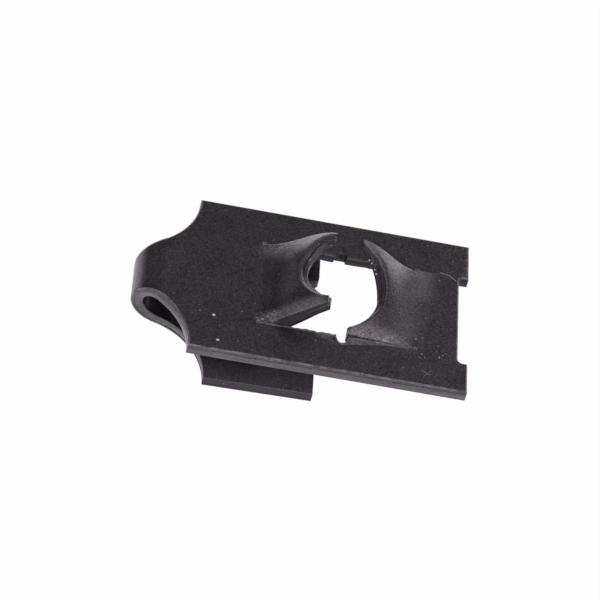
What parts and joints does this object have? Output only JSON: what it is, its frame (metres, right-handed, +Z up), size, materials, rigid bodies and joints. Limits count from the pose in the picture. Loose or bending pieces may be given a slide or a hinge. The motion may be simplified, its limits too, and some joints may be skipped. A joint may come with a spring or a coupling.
{
  "type": "j nut",
  "caption": "Spring clip nut folded from one strip of dark phosphated steel: slides onto a panel edge, and lanced helical tongues grip a coarse screw.",
  "frame": {"origin": "where the screw's axis meets the plane of the short leg's outer face", "axes": "+X from the fold to the free ends, +Y across the strip to the back, +Z up from the short leg to the tongues"},
  "size_m": [0.0271, 0.016, 0.0081],
  "materials": {
    "phosphated_steel": "dark phosphate and oil on spring steel, satin"
  },
  "bodies": {
    "root": {"j_nut": "phosphated_steel"}
  },
  "joints": []
}
